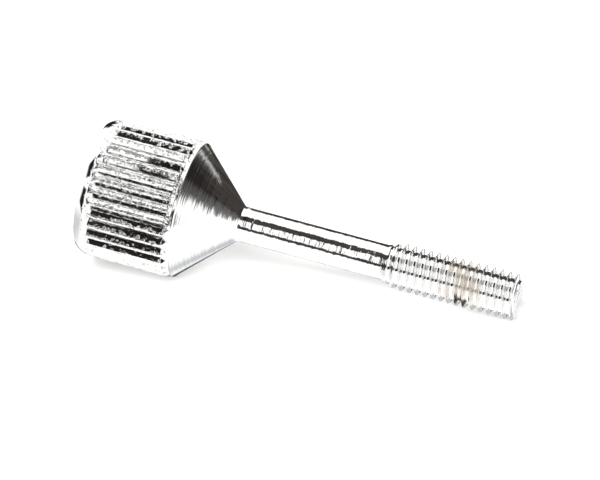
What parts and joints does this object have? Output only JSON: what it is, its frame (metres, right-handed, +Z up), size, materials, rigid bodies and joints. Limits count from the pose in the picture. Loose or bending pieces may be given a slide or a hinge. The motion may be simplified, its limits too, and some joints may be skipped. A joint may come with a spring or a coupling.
{
  "type": "captive thumb screw",
  "caption": "Plated thumb screw with a straight-knurled cylindrical head, a conical seat behind it, a slim shank and a short threaded end, for fastening a panel by hand.",
  "frame": {"origin": "on the floor, at the middle of the flat end of the head, on which the screw stands", "axes": "+Z up along the axis of the screw, from the head to the tip of the thread; +X and +Y level"},
  "size_m": [0.012, 0.012, 0.0378],
  "materials": {
    "plating": "bright plating over turned and rolled steel"
  },
  "bodies": {
    "root": {"thumb_screw": "plating"}
  },
  "joints": []
}
